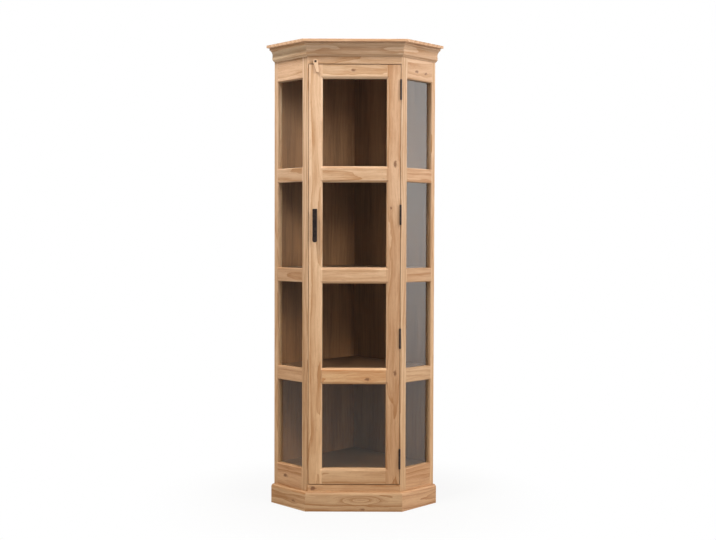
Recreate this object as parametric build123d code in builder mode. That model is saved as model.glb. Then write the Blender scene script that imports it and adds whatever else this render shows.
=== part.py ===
# Corner display cabinet: five-sided plan, one glazed door in front, two glazed sides at 45 degrees,
# two plain backs that stand against the walls of a room's corner.
# Millimetres. +Z is up, the door faces -Y, +X is to the right seen from the front.
# The origin is at the middle of the footprint, on the floor.
import math
import os

from build123d import *

os.makedirs("parts", exist_ok=True)

# Overall sizes
total_height = 1800.0
front_width = 360.0
side_length = 192.0

# Flat frame under the faces
frame_thickness = 22.0
frame_lip = 14.0
rebate = 8.0
post_edge = 3.0
side_front_stile = 31.0
side_rear_stile = 19.0
side_rail_height = 54.0
side_top_rail_show = 80.0
side_bevel_across = 3.0
side_bevel_deep = 3.0

# Top board and cornice
top_board_thickness = 10.0
top_overhang = 42.0
top_edge_round = 1.5
cornice_height = 50.0
cornice_foot = 3.0
cornice_bead = 12.5
cornice_chamfer_rise = 8.0
cornice_bead_height = 9.0
cornice_reach = 27.0
cornice_fillet_height = 7.0
cornice_sag = 5.0

# Plinth
plinth_height = 74.0
plinth_overhang = 16.0
plinth_round = 12.0

# Fixed rails above and below the door
frieze_show = 27.0
front_bottom_rail_top = 100.0

# Door, hung with a small gap all round
door_side_gap = 2.0
door_end_gap = 3.0
door_back_gap = 0.5
door_lip = 13.0
door_stile = 52.5
door_top_rail = 53.0
door_bottom_rail = 60.0
muntin_height = 61.0
bay_pitch = 387.0
door_bevel_across = 8.0
door_bevel_deep = 5.0

# Glass and the strips that hold it
glass_thickness = 3.0
glass_edge_gap = 1.0
bead_clearance = 0.2

# Backs, shelves and the strips that carry them
back_thickness = 12.0
shelf_thickness = 18.0
shelf_door_gap = 1.5
shelf_side_clearance = 0.3
shelf_arris = 1.0
floor_top = 160.0
cleat_height = 20.0
cleat_depth = 14.0
wall_cleat_side_gap = 6.0
wall_cleat_corner_gap = 46.0
side_cleat_inset = 4.0

# Strips that the closed door meets
stop_width = 55.0
stop_depth = 12.0
stop_end_gap = 27.0
stop_overlap = 15.0

# Hinges: the upper one is set down from the door's top, the others up from its foot
hinges_above_foot = (98.0, 562.0, 1036.0)
hinge_below_top = 95.0
hinge_length = 75.0
hinge_knuckles = 5
hinge_pin_radius = 2.0
hinge_pin_clearance = 0.05
hinge_barrel_wall = 1.85
hinge_face_clearance = 0.3
hinge_leaf_gap = 0.1
hinge_leaf_reach = 17.0
hinge_knuckle_gap = 0.3
hinge_cap_lip = 1.2
hinge_cap_length = 1.5

# Pull handle on the left stile
handle_from_edge = 24.0
handle_height = 1097.0
handle_length = 127.0
handle_width = 17.5
handle_bar_thickness = 7.0
handle_stand_off = 18.0
handle_post_radius = 5.0
handle_post_spacing = 96.0
handle_top_round = 2.0
handle_foot_round = 7.0
handle_arris = 1.6

# Turn button above the door
button_from_edge = 25.0
button_above_rail_edge = 7.6
button_thickness = 8.0
button_gap = 0.3
button_head_radius = 9.5
button_tail_length = 43.4
button_tail_width = 12.0
button_tilt = 12.0
button_arris = 1.2
button_screw_radius = 2.1
button_turn_clearance = 0.1
button_screw_hole_clearance = 0.05
button_screw_head_radius = 4.2
button_sink_clearance = 0.4
button_sink_depth = 3.0
button_screw_head_gap = 0.2
button_screw_head_thickness = 1.8
button_screw_depth = 14.0

# Sizes that follow from those above
diagonal = math.sqrt(0.5)
front_half = front_width / 2
side_depth = side_length * diagonal
rear_half = front_half + side_depth
wall_length = rear_half / diagonal
overall_depth = top_overhang + side_depth + rear_half
front_y = top_overhang - overall_depth / 2
rear_y = front_y + side_depth
side_opening_start = side_front_stile
side_opening_end = side_length - side_rear_stile
cornice_top = total_height - top_board_thickness
cornice_bottom = cornice_top - cornice_height
cornice_bead_bottom = cornice_bottom + cornice_chamfer_rise
cornice_bead_top = cornice_bead_bottom + cornice_bead_height
cornice_fillet_bottom = cornice_top - cornice_fillet_height
post_top = cornice_top
side_top_rail_bottom = cornice_bottom - side_top_rail_show
side_bottom_rail_top = floor_top
frieze_bottom = cornice_bottom - frieze_show
door_opening_half = front_half - post_edge
door_half = door_opening_half - door_side_gap
door_thickness = frame_thickness - door_back_gap
door_top = frieze_bottom - door_end_gap
door_bottom = front_bottom_rail_top + door_end_gap
door_top_rail_bottom = door_top - door_top_rail
door_bottom_rail_top = door_bottom + door_bottom_rail
muntin_top_lower = door_bottom_rail_top + bay_pitch
muntin_top_middle = muntin_top_lower + bay_pitch
muntin_top_upper = muntin_top_middle + bay_pitch
glass_in_rebate = rebate - glass_edge_gap
shelf_front_gap = door_thickness + shelf_door_gap
wall_cleat_start = frame_thickness + cleat_depth + wall_cleat_side_gap
wall_cleat_end = wall_length - wall_cleat_corner_gap
side_cleat_start = side_opening_start + side_cleat_inset
side_cleat_end = side_opening_end - side_cleat_inset
stop_length = 2 * (door_opening_half - stop_end_gap)
hinge_heights = tuple(door_bottom + rise for rise in hinges_above_foot) + (
    door_top - hinge_below_top,
)
hinge_bore_radius = hinge_pin_radius + hinge_pin_clearance
hinge_barrel_radius = hinge_bore_radius + hinge_barrel_wall
hinge_cap_radius = hinge_pin_radius + hinge_cap_lip
hinge_leaf = (door_side_gap - hinge_leaf_gap) / 2
hinge_x = (door_half + door_opening_half) / 2
hinge_y = front_y - hinge_barrel_radius - hinge_face_clearance
handle_x = handle_from_edge - door_half
button_x = button_from_edge - door_half
button_height = frieze_bottom + button_above_rail_edge
button_hole_radius = button_screw_radius + button_turn_clearance
button_screw_hole_radius = button_screw_radius + button_screw_hole_clearance
button_sink_radius = button_screw_head_radius + button_sink_clearance

# Faces of the cabinet: local x runs along the face, local y is up, local z points out
front_face = Plane(origin=(0, front_y, 0), x_dir=(1, 0, 0), z_dir=(0, -1, 0))
right_face = Plane(
    origin=(front_half, front_y, 0),
    x_dir=(diagonal, diagonal, 0),
    z_dir=(diagonal, -diagonal, 0),
)
right_wall = Plane(
    origin=(rear_half, rear_y, 0),
    x_dir=(-diagonal, diagonal, 0),
    z_dir=(diagonal, diagonal, 0),
)
left_wall = Plane(
    origin=(-rear_half, rear_y, 0),
    x_dir=(-diagonal, -diagonal, 0),
    z_dir=(-diagonal, diagonal, 0),
)

# Levels of the glazed openings, lowest first
door_levels = (
    (door_bottom_rail_top, muntin_top_lower - muntin_height),
    (muntin_top_lower, muntin_top_middle - muntin_height),
    (muntin_top_middle, muntin_top_upper - muntin_height),
    (muntin_top_upper, door_top_rail_bottom),
)
rail_middles = (
    muntin_top_lower - muntin_height / 2,
    muntin_top_middle - muntin_height / 2,
    muntin_top_upper - muntin_height / 2,
)
side_levels = (
    (side_bottom_rail_top, rail_middles[0] - side_rail_height / 2),
    (rail_middles[0] + side_rail_height / 2, rail_middles[1] - side_rail_height / 2),
    (rail_middles[1] + side_rail_height / 2, rail_middles[2] - side_rail_height / 2),
    (rail_middles[2] + side_rail_height / 2, side_top_rail_bottom),
)
shelf_tops = (muntin_top_lower, muntin_top_middle, muntin_top_upper)


def slab(face, x0, x1, z0, z1, near, far, mode=Mode.ADD):
    """A block on a face: x0..x1 along it, z0..z1 up it, near..far behind it."""
    with BuildSketch(face.offset(-near)) as outline:
        with Locations(((x0 + x1) / 2, (z0 + z1) / 2)):
            Rectangle(x1 - x0, z1 - z0)
    extrude(outline.sketch, amount=near - far, mode=mode)


def bevel_opening(face, x0, x1, z0, z1, across, deep):
    """Cut the sloping arris that runs round a glazed opening."""
    with BuildSketch(face) as wide:
        with Locations(((x0 + x1) / 2, (z0 + z1) / 2)):
            Rectangle(x1 - x0 + 2 * across, z1 - z0 + 2 * across)
    with BuildSketch(face.offset(-deep)) as narrow:
        with Locations(((x0 + x1) / 2, (z0 + z1) / 2)):
            Rectangle(x1 - x0, z1 - z0)
    loft([wide.sketch, narrow.sketch], mode=Mode.SUBTRACT)


def finish(part, name):
    """Name one piece and write it."""
    part.label = name
    export_step(part, "parts/" + name + ".step")
    print(name, "solids", len(part.solids()), "volume", round(part.volume / 1000, 1))


def mirrored(part, name):
    """Write the left-hand copy of a right-hand piece."""
    with BuildPart() as copy:
        mirror(part, about=Plane.YZ)
    finish(copy.part, name)


def bevel_side_openings():
    """Cut the arris of the four openings of a side frame."""
    for z0, z1 in side_levels:
        bevel_opening(
            right_face,
            side_opening_start,
            side_opening_end,
            z0,
            z1,
            side_bevel_across,
            side_bevel_deep,
        )


def bevel_door_openings():
    """Cut the arris of the four openings of the door."""
    for z0, z1 in door_levels:
        bevel_opening(
            front_face,
            door_stile - door_half,
            door_half - door_stile,
            z0,
            z1,
            door_bevel_across,
            door_bevel_deep,
        )


def side_rail(z0, z1, below, above):
    """A rail of a side frame; below and above tell where glass is let in."""
    low = z0 + (rebate if below else 0)
    high = z1 - (rebate if above else 0)
    slab(right_face, side_opening_start, side_opening_end, z0, z1, 0, frame_lip)
    slab(
        right_face,
        side_opening_start - rebate,
        side_opening_end + rebate,
        low,
        high,
        frame_lip,
        frame_thickness,
    )
    bevel_side_openings()


def door_rail(z0, z1, below, above):
    """A rail of the door; below and above tell where glass is let in."""
    low = z0 + (rebate if below else 0)
    high = z1 - (rebate if above else 0)
    half = door_half - door_stile
    slab(front_face, -half, half, z0, z1, 0, door_lip)
    slab(front_face, -half - rebate, half + rebate, low, high, door_lip, door_thickness)
    bevel_door_openings()


def bead_ring(face, x0, x1, z0, z1, near, far):
    """Four loose strips behind one pane."""
    out_x0 = x0 - rebate + bead_clearance
    out_x1 = x1 + rebate - bead_clearance
    out_z0 = z0 - rebate + bead_clearance
    out_z1 = z1 + rebate - bead_clearance
    slab(face, out_x0, x0, out_z0, out_z1, near, far)
    slab(face, x1, out_x1, out_z0, out_z1, near, far)
    slab(face, x0 + bead_clearance, x1 - bead_clearance, out_z0, z0, near, far)
    slab(face, x0 + bead_clearance, x1 - bead_clearance, z1, out_z1, near, far)


def board_outline(front, side, back):
    """Corners of a level board: distances in from the front, side and back planes."""
    y0 = front_y + front
    lean = front_half - front_y - 2 * diagonal * side
    sum_back = rear_half + rear_y - back / diagonal
    rear_x = (sum_back + lean) / 2
    return [
        (y0 + lean, y0),
        (rear_x, sum_back - rear_x),
        (0, sum_back),
        (-rear_x, sum_back - rear_x),
        (-y0 - lean, y0),
    ]


# Plinth boards, mitred at the two front corners
with BuildPart() as plinth_front:
    slab(front_face, -rear_half, rear_half, 0, plinth_height, -plinth_overhang, 0)
    fillet(
        plinth_front.edges().filter_by(Axis.X).sort_by(Axis.Z)[-2:].sort_by(Axis.Y)[0],
        radius=plinth_round,
    )
    split(
        bisect_by=Plane(
            origin=(front_half, front_y, 0),
            z_dir=(math.cos(math.radians(22.5)), math.sin(math.radians(22.5)), 0),
        ),
        keep=Keep.BOTTOM,
    )
    split(
        bisect_by=Plane(
            origin=(-front_half, front_y, 0),
            z_dir=(-math.cos(math.radians(22.5)), math.sin(math.radians(22.5)), 0),
        ),
        keep=Keep.BOTTOM,
    )
finish(plinth_front.part, "plinth_front")

with BuildPart() as plinth_right:
    with BuildSketch(right_wall) as plinth_section:
        with BuildLine():
            Polyline(
                (0, 0),
                (-plinth_overhang, 0),
                (-plinth_overhang, plinth_height - plinth_round),
            )
            RadiusArc(
                (-plinth_overhang, plinth_height - plinth_round),
                (-plinth_overhang + plinth_round, plinth_height),
                plinth_round,
            )
            Polyline((-plinth_overhang + plinth_round, plinth_height), (0, plinth_height), (0, 0))
        make_face()
    extrude(amount=-side_length - 2 * plinth_overhang)
    split(
        bisect_by=Plane(
            origin=(front_half, front_y, 0),
            z_dir=(math.cos(math.radians(22.5)), math.sin(math.radians(22.5)), 0),
        ),
        keep=Keep.TOP,
    )
finish(plinth_right.part, "plinth_right")
mirrored(plinth_right.part, "plinth_left")

# Front posts: each is the corner between door and side, rebated for the side glass
with BuildPart() as front_post_right:
    with BuildSketch(Plane.XY):
        with BuildLine():
            Polyline(
                (front_half, front_y),
                (
                    front_half + side_front_stile * diagonal,
                    front_y + side_front_stile * diagonal,
                ),
                (
                    front_half + (side_front_stile - frame_lip) * diagonal,
                    front_y + (side_front_stile + frame_lip) * diagonal,
                ),
                (
                    front_half + (side_front_stile - rebate - frame_lip) * diagonal,
                    front_y + (side_front_stile - rebate + frame_lip) * diagonal,
                ),
                (
                    front_half + (side_front_stile - rebate - frame_thickness) * diagonal,
                    front_y + (side_front_stile - rebate + frame_thickness) * diagonal,
                ),
                (
                    door_opening_half,
                    front_y + 2 * frame_thickness * diagonal - post_edge,
                ),
                (door_opening_half, front_y),
                close=True,
            )
        make_face()
    extrude(amount=post_top)
    bevel_side_openings()
finish(front_post_right.part, "front_post_right")
mirrored(front_post_right.part, "front_post_left")

# Rear posts
with BuildPart() as rear_post_right:
    slab(right_face, side_opening_end, side_length, 0, post_top, 0, frame_lip)
    slab(
        right_face,
        side_opening_end + rebate,
        side_length,
        0,
        post_top,
        frame_lip,
        frame_thickness,
    )
    bevel_side_openings()
finish(rear_post_right.part, "rear_post_right")
mirrored(rear_post_right.part, "rear_post_left")

# Fixed rails below and above the door
with BuildPart() as front_bottom_rail:
    slab(
        front_face,
        -door_opening_half,
        door_opening_half,
        0,
        front_bottom_rail_top,
        0,
        frame_thickness,
    )
finish(front_bottom_rail.part, "front_bottom_rail")

with BuildPart() as front_frieze_rail:
    slab(
        front_face,
        -door_opening_half,
        door_opening_half,
        frieze_bottom,
        post_top,
        0,
        frame_thickness,
    )
    with BuildSketch(front_face):
        with Locations((button_x, button_height)):
            Circle(button_screw_hole_radius)
    extrude(amount=-button_screw_depth, mode=Mode.SUBTRACT)
finish(front_frieze_rail.part, "front_frieze_rail")

# Rails of the side frames
with BuildPart() as side_bottom_rail_right:
    side_rail(0, side_bottom_rail_top, False, True)
finish(side_bottom_rail_right.part, "side_bottom_rail_right")
mirrored(side_bottom_rail_right.part, "side_bottom_rail_left")

with BuildPart() as side_lower_rail_right:
    side_rail(side_levels[0][1], side_levels[1][0], True, True)
finish(side_lower_rail_right.part, "side_lower_rail_right")
mirrored(side_lower_rail_right.part, "side_lower_rail_left")

with BuildPart() as side_middle_rail_right:
    side_rail(side_levels[1][1], side_levels[2][0], True, True)
finish(side_middle_rail_right.part, "side_middle_rail_right")
mirrored(side_middle_rail_right.part, "side_middle_rail_left")

with BuildPart() as side_upper_rail_right:
    side_rail(side_levels[2][1], side_levels[3][0], True, True)
finish(side_upper_rail_right.part, "side_upper_rail_right")
mirrored(side_upper_rail_right.part, "side_upper_rail_left")

with BuildPart() as side_top_rail_right:
    side_rail(side_top_rail_bottom, post_top, True, False)
finish(side_top_rail_right.part, "side_top_rail_right")
mirrored(side_top_rail_right.part, "side_top_rail_left")

# Side glass, one pane to each opening
for pane_name, (pane_low, pane_high) in zip(("1", "2", "3", "4"), side_levels):
    with BuildPart() as side_pane:
        slab(
            right_face,
            side_opening_start - glass_in_rebate,
            side_opening_end + glass_in_rebate,
            pane_low - glass_in_rebate,
            pane_high + glass_in_rebate,
            frame_lip,
            frame_lip + glass_thickness,
        )
    finish(side_pane.part, "side_pane_right_" + pane_name)
    mirrored(side_pane.part, "side_pane_left_" + pane_name)

# Strips behind the side glass
with BuildPart() as side_glazing_beads:
    for bead_low, bead_high in side_levels:
        bead_ring(
            right_face,
            side_opening_start,
            side_opening_end,
            bead_low,
            bead_high,
            frame_lip + glass_thickness,
            frame_thickness,
        )
    mirror(about=Plane.YZ)
finish(side_glazing_beads.part, "side_glazing_beads")

# Backs: the left one runs to the corner, the right one butts against it
with BuildPart() as back_panel_right:
    slab(
        right_wall,
        frame_thickness,
        wall_length - back_thickness,
        0,
        post_top,
        0,
        back_thickness,
    )
finish(back_panel_right.part, "back_panel_right")

with BuildPart() as back_panel_left:
    slab(
        left_wall,
        -wall_length,
        -frame_thickness,
        0,
        post_top,
        0,
        back_thickness,
    )
finish(back_panel_left.part, "back_panel_left")

# Floor and the three shelves
shelf_corners = board_outline(
    shelf_front_gap,
    frame_thickness + shelf_side_clearance,
    back_thickness + shelf_side_clearance,
)
board_tops = (floor_top,) + shelf_tops
board_names = ("floor_board", "shelf_lower", "shelf_middle", "shelf_upper")
for board_name, board_top in zip(board_names, board_tops):
    with BuildPart() as board:
        with BuildSketch(Plane.XY.offset(board_top - shelf_thickness)):
            with BuildLine():
                Polyline(*shelf_corners, close=True)
            make_face()
        extrude(amount=shelf_thickness)
        chamfer(
            board.faces().sort_by(Axis.Y)[0].edges().filter_by(Axis.X),
            length=shelf_arris,
        )
    finish(board.part, board_name)

# Strips under the floor and the shelves, on the side rails and on the backs
with BuildPart() as shelf_cleats:
    for board_top in board_tops:
        cleat_top = board_top - shelf_thickness
        slab(
            right_face,
            side_cleat_start,
            side_cleat_end,
            cleat_top - cleat_height,
            cleat_top,
            frame_thickness,
            frame_thickness + cleat_depth,
        )
        slab(
            right_wall,
            wall_cleat_start,
            wall_cleat_end,
            cleat_top - cleat_height,
            cleat_top,
            back_thickness,
            back_thickness + cleat_depth,
        )
    mirror(about=Plane.YZ)
finish(shelf_cleats.part, "shelf_cleats")

# Strips behind the fixed front rails that the closed door meets
with BuildPart() as door_stops:
    slab(
        front_face,
        -stop_length / 2,
        stop_length / 2,
        door_top - stop_overlap,
        door_top - stop_overlap + stop_width,
        frame_thickness,
        frame_thickness + stop_depth,
    )
    slab(
        front_face,
        -stop_length / 2,
        stop_length / 2,
        door_bottom + stop_overlap - stop_width,
        door_bottom + stop_overlap,
        frame_thickness,
        frame_thickness + stop_depth,
    )
finish(door_stops.part, "door_stops")

# Cornice moulding: chamfer, bead, cove and fillet, mitred at the front corners
cove_middle = (
    (cornice_bead + cornice_reach) / 2 - cornice_sag,
    (cornice_bead_top + cornice_fillet_bottom) / 2 + cornice_sag,
)
mitre_right = Plane(
    origin=(front_half, front_y, 0),
    z_dir=(math.cos(math.radians(22.5)), math.sin(math.radians(22.5)), 0),
)
mitre_left = Plane(
    origin=(-front_half, front_y, 0),
    z_dir=(-math.cos(math.radians(22.5)), math.sin(math.radians(22.5)), 0),
)
with BuildPart() as cornice_right:
    with BuildSketch(right_wall):
        with BuildLine():
            Polyline(
                (0, cornice_bottom),
                (-cornice_foot, cornice_bottom),
                (-cornice_bead, cornice_bead_bottom),
                (-cornice_bead, cornice_bead_top),
            )
            ThreePointArc(
                (-cornice_bead, cornice_bead_top),
                (-cove_middle[0], cove_middle[1]),
                (-cornice_reach, cornice_fillet_bottom),
            )
            Polyline(
                (-cornice_reach, cornice_fillet_bottom),
                (-cornice_reach, cornice_top),
                (0, cornice_top),
                (0, cornice_bottom),
            )
        make_face()
    extrude(amount=-side_length - 2 * cornice_reach)
    split(bisect_by=mitre_right, keep=Keep.TOP)
finish(cornice_right.part, "cornice_right")
mirrored(cornice_right.part, "cornice_left")

cornice_end = Plane(
    origin=(rear_half, front_y, 0),
    x_dir=(0, 1, 0),
    z_dir=(1, 0, 0),
)
with BuildPart() as cornice_front:
    with BuildSketch(cornice_end):
        with BuildLine():
            Polyline(
                (0, cornice_bottom),
                (-cornice_foot, cornice_bottom),
                (-cornice_bead, cornice_bead_bottom),
                (-cornice_bead, cornice_bead_top),
            )
            ThreePointArc(
                (-cornice_bead, cornice_bead_top),
                (-cove_middle[0], cove_middle[1]),
                (-cornice_reach, cornice_fillet_bottom),
            )
            Polyline(
                (-cornice_reach, cornice_fillet_bottom),
                (-cornice_reach, cornice_top),
                (0, cornice_top),
                (0, cornice_bottom),
            )
        make_face()
    extrude(amount=-2 * rear_half)
    split(bisect_by=mitre_right, keep=Keep.BOTTOM)
    split(bisect_by=mitre_left, keep=Keep.BOTTOM)
finish(cornice_front.part, "cornice_front")

# Top board
with BuildPart() as top_board:
    with BuildSketch(Plane.XY.offset(cornice_top)):
        with BuildLine():
            Polyline(*board_outline(-top_overhang, -top_overhang, 0), close=True)
        make_face()
    extrude(amount=top_board_thickness)
    fillet(
        top_board.edges().filter_by(Plane.XY).group_by(Axis.Y)[0],
        radius=top_edge_round,
    )
finish(top_board.part, "top_board")

# Door: two stiles, five rails, four panes
with BuildPart() as door_stile_right:
    slab(
        front_face,
        door_half - door_stile,
        door_half,
        door_bottom,
        door_top,
        0,
        door_lip,
    )
    slab(
        front_face,
        door_half - door_stile + rebate,
        door_half,
        door_bottom,
        door_top,
        door_lip,
        door_thickness,
    )
    bevel_door_openings()
finish(door_stile_right.part, "door_stile_right")
mirrored(door_stile_right.part, "door_stile_left")

with BuildPart() as door_bottom_rail:
    door_rail(door_bottom, door_bottom_rail_top, False, True)
finish(door_bottom_rail.part, "door_bottom_rail")

with BuildPart() as door_lower_rail:
    door_rail(door_levels[0][1], door_levels[1][0], True, True)
finish(door_lower_rail.part, "door_lower_rail")

with BuildPart() as door_middle_rail:
    door_rail(door_levels[1][1], door_levels[2][0], True, True)
finish(door_middle_rail.part, "door_middle_rail")

with BuildPart() as door_upper_rail:
    door_rail(door_levels[2][1], door_levels[3][0], True, True)
finish(door_upper_rail.part, "door_upper_rail")

with BuildPart() as door_top_rail:
    door_rail(door_top_rail_bottom, door_top, True, False)
finish(door_top_rail.part, "door_top_rail")

for pane_name, (pane_low, pane_high) in zip(("1", "2", "3", "4"), door_levels):
    with BuildPart() as door_pane:
        slab(
            front_face,
            door_stile - door_half - glass_in_rebate,
            door_half - door_stile + glass_in_rebate,
            pane_low - glass_in_rebate,
            pane_high + glass_in_rebate,
            door_lip,
            door_lip + glass_thickness,
        )
    finish(door_pane.part, "door_pane_" + pane_name)

with BuildPart() as door_glazing_beads:
    for bead_low, bead_high in door_levels:
        bead_ring(
            front_face,
            door_stile - door_half,
            door_half - door_stile,
            bead_low,
            bead_high,
            door_lip + glass_thickness,
            door_thickness,
        )
finish(door_glazing_beads.part, "door_glazing_beads")

# Butt hinges: barrel in front of the gap between door and post, leaves inside the gap
knuckle_pitch = hinge_length / hinge_knuckles


def hinge_half(centre, side, own_knuckles):
    """One leaf with its knuckles; side is +1 on the post and -1 on the door."""
    base = centre - hinge_length / 2
    plate_x = hinge_x + side * (hinge_leaf_gap + hinge_leaf) / 2
    plate_near = front_y + hinge_face_clearance
    plate_far = front_y + hinge_leaf_reach
    tab_near = hinge_y + hinge_bore_radius + hinge_barrel_wall / 2
    with BuildSketch(Plane.XY.offset(base)) as plate:
        with Locations((plate_x, (plate_near + plate_far) / 2)):
            Rectangle(hinge_leaf, plate_far - plate_near)
    extrude(plate.sketch, amount=hinge_length)
    for index in own_knuckles:
        low = base + index * knuckle_pitch + hinge_knuckle_gap / 2
        with BuildSketch(Plane.XY.offset(low)) as ring:
            with Locations((hinge_x, hinge_y)):
                Circle(hinge_barrel_radius)
            with Locations((plate_x, (tab_near + plate_near) / 2)):
                Rectangle(hinge_leaf, plate_near - tab_near)
            with Locations((hinge_x, hinge_y)):
                Circle(hinge_bore_radius, mode=Mode.SUBTRACT)
        extrude(ring.sketch, amount=knuckle_pitch - hinge_knuckle_gap)


with BuildPart() as hinge_frame_leaves:
    for hinge_height in hinge_heights:
        hinge_half(hinge_height, 1, (0, 2, 4))
finish(hinge_frame_leaves.part, "hinge_frame_leaves")

with BuildPart() as hinge_door_leaves:
    for hinge_height in hinge_heights:
        hinge_half(hinge_height, -1, (1, 3))
finish(hinge_door_leaves.part, "hinge_door_leaves")

with BuildPart() as hinge_pins:
    for hinge_height in hinge_heights:
        with BuildSketch(Plane.XY.offset(hinge_height - hinge_length / 2)):
            with Locations((hinge_x, hinge_y)):
                Circle(hinge_pin_radius)
        extrude(amount=hinge_length)
        with BuildSketch(Plane.XY.offset(hinge_height + hinge_length / 2)):
            with Locations((hinge_x, hinge_y)):
                Circle(hinge_cap_radius)
        extrude(amount=hinge_cap_length)
        with BuildSketch(Plane.XY.offset(hinge_height - hinge_length / 2 - hinge_cap_length)):
            with Locations((hinge_x, hinge_y)):
                Circle(hinge_cap_radius)
        extrude(amount=hinge_cap_length)
finish(hinge_pins.part, "hinge_pins")

# Pull handle: a flat bar on two round posts
with BuildPart() as handle_bar:
    with BuildSketch(front_face.offset(handle_stand_off)):
        with BuildSketch(mode=Mode.PRIVATE) as bar_shape:
            Rectangle(handle_width, handle_length)
            fillet(bar_shape.vertices().group_by(Axis.Y)[-1], radius=handle_top_round)
            fillet(bar_shape.vertices().group_by(Axis.Y)[0], radius=handle_foot_round)
        with Locations((handle_x, handle_height)):
            add(bar_shape.sketch)
    extrude(amount=handle_bar_thickness)
    chamfer(
        handle_bar.faces().sort_by(Axis.Y)[0].edges(),
        length=handle_arris,
    )
finish(handle_bar.part, "handle_bar")

with BuildPart() as handle_posts:
    with BuildSketch(front_face):
        with Locations(
            (handle_x, handle_height + handle_post_spacing / 2),
            (handle_x, handle_height - handle_post_spacing / 2),
        ):
            Circle(handle_post_radius)
    extrude(amount=handle_stand_off)
finish(handle_posts.part, "handle_posts")

# Turn button: a small wooden lever screwed to the frieze, its tail lapping the door
tilt = math.radians(button_tilt)
tail_dir = (math.sin(tilt), -math.cos(tilt))
tail_side = (math.cos(tilt), math.sin(tilt))


def on_button(along, across):
    """A point of the lever: along its tail from the screw, and across it."""
    return (
        button_x + along * tail_dir[0] + across * tail_side[0],
        button_height + along * tail_dir[1] + across * tail_side[1],
    )


with BuildPart() as turn_button:
    with BuildSketch(front_face.offset(button_gap)):
        with Locations((button_x, button_height)):
            Circle(button_head_radius)
        with BuildLine():
            tail_half = button_tail_width / 2
            tail_start = button_tail_length - tail_half
            Polyline(
                on_button(0, -button_head_radius),
                on_button(0, button_head_radius),
                on_button(tail_start, tail_half),
            )
            ThreePointArc(
                on_button(tail_start, tail_half),
                on_button(button_tail_length, 0),
                on_button(tail_start, -tail_half),
            )
            Line(on_button(tail_start, -tail_half), on_button(0, -button_head_radius))
        make_face()
    extrude(amount=button_thickness)
    chamfer(turn_button.faces().sort_by(Axis.Y)[0].edges(), length=button_arris)
    with BuildSketch(front_face):
        with Locations((button_x, button_height)):
            Circle(button_hole_radius)
    extrude(amount=button_gap + button_thickness, mode=Mode.SUBTRACT)
    with BuildSketch(front_face.offset(button_gap + button_thickness - button_sink_depth)):
        with Locations((button_x, button_height)):
            Circle(button_sink_radius)
    extrude(amount=button_sink_depth, mode=Mode.SUBTRACT)
finish(turn_button.part, "turn_button")

screw_seat = button_gap + button_thickness - button_sink_depth + button_screw_head_gap
with BuildPart() as turn_button_screw:
    with BuildSketch(front_face.offset(screw_seat)):
        with Locations((button_x, button_height)):
            Circle(button_screw_radius)
    extrude(amount=-screw_seat - button_screw_depth + button_gap)
    with BuildSketch(front_face.offset(screw_seat)):
        with Locations((button_x, button_height)):
            Circle(button_screw_head_radius)
    extrude(amount=button_screw_head_thickness)
finish(turn_button_screw.part, "turn_button_screw")
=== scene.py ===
# %% [markdown]
# # A corner display cabinet, dressed in Blender
#
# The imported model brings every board, pane and hinge in its exact place, in metres.
# This script keeps those shapes. It gives them wood, glass and iron, makes the small
# fittings finer, and sets the cabinet in a plain white studio.

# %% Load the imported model
import math
import random

import bmesh
import bpy
from mathutils import Euler, Matrix, Vector


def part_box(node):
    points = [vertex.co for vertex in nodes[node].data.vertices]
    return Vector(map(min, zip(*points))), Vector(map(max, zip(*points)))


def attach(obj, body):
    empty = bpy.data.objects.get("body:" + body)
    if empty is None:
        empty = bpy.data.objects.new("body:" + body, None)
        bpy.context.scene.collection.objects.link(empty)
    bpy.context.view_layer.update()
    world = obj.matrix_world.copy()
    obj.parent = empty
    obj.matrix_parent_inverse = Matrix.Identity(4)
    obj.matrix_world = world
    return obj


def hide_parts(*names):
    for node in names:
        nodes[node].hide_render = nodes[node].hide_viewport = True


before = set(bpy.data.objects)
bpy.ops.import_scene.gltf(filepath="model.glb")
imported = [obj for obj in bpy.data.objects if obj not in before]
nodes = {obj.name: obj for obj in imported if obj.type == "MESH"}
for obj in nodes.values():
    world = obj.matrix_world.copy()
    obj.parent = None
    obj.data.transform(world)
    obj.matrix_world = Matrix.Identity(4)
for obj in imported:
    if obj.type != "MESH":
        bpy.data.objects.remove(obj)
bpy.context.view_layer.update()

# %% [markdown]
# ## Small helpers for shader nodes
#
# A material here is many small nodes. They could be placed and joined one line at a
# time, but that buries the idea of each finish. One helper places a node and fills its
# inputs, either with a value or with a link, so that a finish reads like a recipe.

# %% Placing a node
WHITE = (1.0, 1.0, 1.0, 1.0)


def place(tree, kind, inputs=None, **properties):
    """Adds a shader node. An input is given a value, or a socket to link it to."""
    node = tree.nodes.new("ShaderNode" + kind)
    for name, value in properties.items():
        setattr(node, name, value)
    for socket, value in (inputs or {}).items():
        if isinstance(value, bpy.types.NodeSocket):
            tree.links.new(value, node.inputs[socket])
        else:
            node.inputs[socket].default_value = value
    return node


def empty_tree(owner):
    """Gives a material or a world an empty node tree."""
    owner.use_nodes = True
    owner.node_tree.nodes.clear()
    return owner.node_tree


def object_point(tree):
    """The place of the shaded point. Every piece sits at the origin, so it is in metres."""
    return place(tree, "TexCoord").outputs["Object"]


# %% Sums, steps and mixes
def calc(tree, operation, first, second=0.0):
    """The result of a Math node."""
    return place(tree, "Math", {0: first, 1: second}, operation=operation).outputs[0]


def plus(tree, total, share, value):
    """The total with a share of the value added."""
    return calc(tree, "ADD", total, calc(tree, "MULTIPLY", value, share))


def move(tree, operation, first, second):
    """The result of a Vector Math node."""
    node = place(tree, "VectorMath", {0: first, 1: second}, operation=operation)
    return node.outputs[0]


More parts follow.
